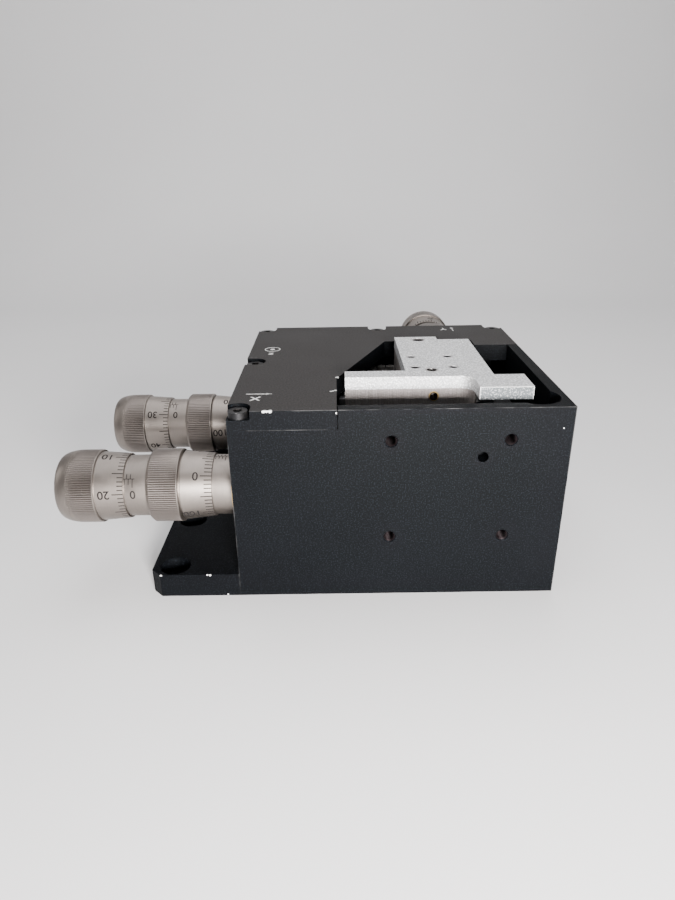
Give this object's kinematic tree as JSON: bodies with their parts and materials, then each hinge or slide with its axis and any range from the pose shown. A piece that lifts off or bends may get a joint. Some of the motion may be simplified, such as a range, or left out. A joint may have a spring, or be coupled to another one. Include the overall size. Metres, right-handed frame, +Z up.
{
  "type": "flexure positioning stage",
  "caption": "Compact flexure translation stage: a small bright platform guided along X, Y and Z by leaf springs in a black housing and moved by differential micrometer screws.",
  "frame": {"origin": "lower front left corner of the body block, on the base plane, where the side flange meets it", "axes": "+X to the right along the X travel, +Y to the back along the Y travel, +Z up along the Z travel; the X and Z drives stick out along -X and the Y drive along +Y"},
  "size_m": [0.148, 0.1475, 0.0625],
  "materials": {
    "black_anodised": "black anodised aluminium, fine bead-blasted grain",
    "clear_anodised": "clear anodised aluminium, bead-blasted",
    "micrometer_steel": "satin turned steel with straight knurls and engraved scales",
    "satin_steel": "ground steel",
    "hardened_steel": "polished hardened steel",
    "spring_steel": "bright spring steel",
    "black_screws": "black oxide",
    "bright_screws": "bright steel",
    "brass": "turned brass"
  },
  "bodies": {
    "housing": {"housing": "black_anodised", "top_cover": "black_anodised", "cover_screws": "black_screws", "base_plate": "black_anodised", "base_screws": "black_screws", "foot_screws": "black_screws", "leaf_feet": "black_anodised", "base_leaf_bars": "satin_steel", "base_leaf_screws": "bright_screws", "lever_bracket": "black_anodised", "bracket_screws": "bright_screws", "lever_pivot_pin": "hardened_steel", "x_leaves": "spring_steel", "x_return_spring": "spring_steel", "x_sleeve": "micrometer_steel", "x_washer": "brass", "x_lock_nut": "brass", "y_sleeve": "micrometer_steel", "y_washer": "brass", "y_lock_nut": "brass", "z_sleeve": "micrometer_steel", "z_washer": "brass", "z_lock_nut": "brass"},
    "x_carriage": {"x_carriage": "black_anodised", "x_contact_pad": "hardened_steel", "x_carriage_bars": "satin_steel", "x_carriage_screws": "bright_screws", "y_leaves": "spring_steel", "y_return_spring": "spring_steel"},
    "y_carriage": {"y_carriage": "black_anodised", "y_contact_pad": "hardened_steel", "y_carriage_bars": "satin_steel", "y_carriage_screws": "bright_screws", "z_leaves": "spring_steel", "z_return_springs": "spring_steel"},
    "platform": {"platform": "clear_anodised", "thread_inserts": "brass", "riser": "black_anodised", "riser_screws": "bright_screws", "riser_bars": "satin_steel", "platform_small_screws": "bright_screws", "lift_arm": "satin_steel", "lift_strip": "hardened_steel"},
    "z_lever": {"z_lever": "satin_steel", "lift_dowel": "hardened_steel"},
    "x_feed": {"x_guide_bush": "brass"},
    "x_coarse": {"x_coarse_thimble": "micrometer_steel"},
    "x_fine_feed": {"x_drag_ring": "brass"},
    "x_fine": {"x_fine_thimble": "micrometer_steel"},
    "x_spindle": {"x_spindle": "hardened_steel"},
    "y_feed": {"y_guide_bush": "brass"},
    "y_coarse": {"y_coarse_thimble": "micrometer_steel"},
    "y_fine_feed": {"y_drag_ring": "brass"},
    "y_fine": {"y_fine_thimble": "micrometer_steel"},
    "y_spindle": {"y_spindle": "hardened_steel"},
    "z_feed": {"z_guide_bush": "brass"},
    "z_coarse": {"z_coarse_thimble": "micrometer_steel"},
    "z_fine_feed": {"z_drag_ring": "brass"},
    "z_fine": {"z_fine_thimble": "micrometer_steel"},
    "z_spindle": {"z_spindle": "hardened_steel"}
  },
  "joints": [
    {"name": "x_travel", "type": "slide", "parent": "housing", "child": "x_carriage", "axis": [1, 0, 0], "range_m": [-0.00201, 0.00201], "deforming": ["x_leaves", "x_return_spring"]},
    {"name": "y_travel", "type": "slide", "parent": "x_carriage", "child": "y_carriage", "axis": [0, 1, 0], "range_m": [-0.00201, 0.00201], "deforming": ["y_leaves", "y_return_spring"]},
    {"name": "z_travel", "type": "slide", "parent": "y_carriage", "child": "platform", "axis": [0, 0, 1], "range_m": [-0.00201, 0.00201], "deforming": ["z_leaves", "z_return_springs"]},
    {"name": "z_lever_swing", "type": "hinge", "parent": "housing", "child": "z_lever", "pos_m": [0.0235, 0.07, 0.044], "axis": [0, -1, 0], "range_deg": [-7.85, 7.85]},
    {"name": "x_coarse_feed", "type": "slide", "parent": "housing", "child": "x_feed", "axis": [1, 0, 0], "range_m": [-0.002, 0.002]},
    {"name": "x_coarse_turn", "type": "hinge", "parent": "x_feed", "child": "x_coarse", "pos_m": [0, 0.014, 0.0312], "axis": [1, 0, 0], "range_deg": [-1441, 1441]},
    {"name": "x_fine_screw_feed", "type": "slide", "parent": "x_coarse", "child": "x_fine_feed", "axis": [1, 0, 0], "range_m": [-0.0015, 0.0015]},
    {"name": "x_fine_turn", "type": "hinge", "parent": "x_fine_feed", "child": "x_fine", "pos_m": [0, 0.014, 0.0312], "axis": [1, 0, 0], "range_deg": [-1081, 1081]},
    {"name": "x_spindle_feed", "type": "slide", "parent": "x_feed", "child": "x_spindle", "axis": [1, 0, 0], "range_m": [-0.000151, 0.000151]},
    {"name": "y_coarse_feed", "type": "slide", "parent": "housing", "child": "y_feed", "axis": [0, -1, 0], "range_m": [-0.002, 0.002]},
    {"name": "y_coarse_turn", "type": "hinge", "parent": "y_feed", "child": "y_coarse", "pos_m": [0.0715, 0.0945, 0.0443], "axis": [0, -1, 0], "range_deg": [-1441, 1441]},
    {"name": "y_fine_screw_feed", "type": "slide", "parent": "y_coarse", "child": "y_fine_feed", "axis": [0, -1, 0], "range_m": [-0.0015, 0.0015]},
    {"name": "y_fine_turn", "type": "hinge", "parent": "y_fine_feed", "child": "y_fine", "pos_m": [0.0715, 0.0945, 0.0443], "axis": [0, -1, 0], "range_deg": [-1081, 1081]},
    {"name": "y_spindle_feed", "type": "slide", "parent": "y_feed", "child": "y_spindle", "axis": [0, -1, 0], "range_m": [-0.000151, 0.000151]},
    {"name": "z_coarse_feed", "type": "slide", "parent": "housing", "child": "z_feed", "axis": [1, 0, 0], "range_m": [-0.002, 0.002]},
    {"name": "z_coarse_turn", "type": "hinge", "parent": "z_feed", "child": "z_coarse", "pos_m": [0, 0.07, 0.0293], "axis": [1, 0, 0], "range_deg": [-1441, 1441]},
    {"name": "z_fine_screw_feed", "type": "slide", "parent": "z_coarse", "child": "z_fine_feed", "axis": [1, 0, 0], "range_m": [-0.0015, 0.0015]},
    {"name": "z_fine_turn", "type": "hinge", "parent": "z_fine_feed", "child": "z_fine", "pos_m": [0, 0.07, 0.0293], "axis": [1, 0, 0], "range_deg": [-1081, 1081]},
    {"name": "z_spindle_feed", "type": "slide", "parent": "z_feed", "child": "z_spindle", "axis": [1, 0, 0], "range_m": [-0.000151, 0.000151]}
  ],
  "couplings": [
    {"joint": "x_coarse_turn", "follows": "x_coarse_feed", "rad_per_m": 12566},
    {"joint": "x_fine_turn", "follows": "x_fine_screw_feed", "rad_per_m": 12566},
    {"joint": "x_spindle_feed", "follows": "x_fine_screw_feed", "ratio": 0.1},
    {"joint": "y_coarse_turn", "follows": "y_coarse_feed", "rad_per_m": 12566},
    {"joint": "y_fine_turn", "follows": "y_fine_screw_feed", "rad_per_m": 12566},
    {"joint": "y_spindle_feed", "follows": "y_fine_screw_feed", "ratio": 0.1},
    {"joint": "z_coarse_turn", "follows": "z_coarse_feed", "rad_per_m": 12566},
    {"joint": "z_fine_turn", "follows": "z_fine_screw_feed", "rad_per_m": 12566},
    {"joint": "z_spindle_feed", "follows": "z_fine_screw_feed", "ratio": 0.1},
    {"joint": "x_travel", "follows": "x_coarse_feed", "ratio": 1},
    {"joint": "y_travel", "follows": "y_coarse_feed", "ratio": -1},
    {"joint": "z_travel", "follows": "z_coarse_feed", "ratio": 1},
    {"joint": "z_lever_swing", "follows": "z_coarse_feed", "rad_per_m": 68.027}
  ]
}
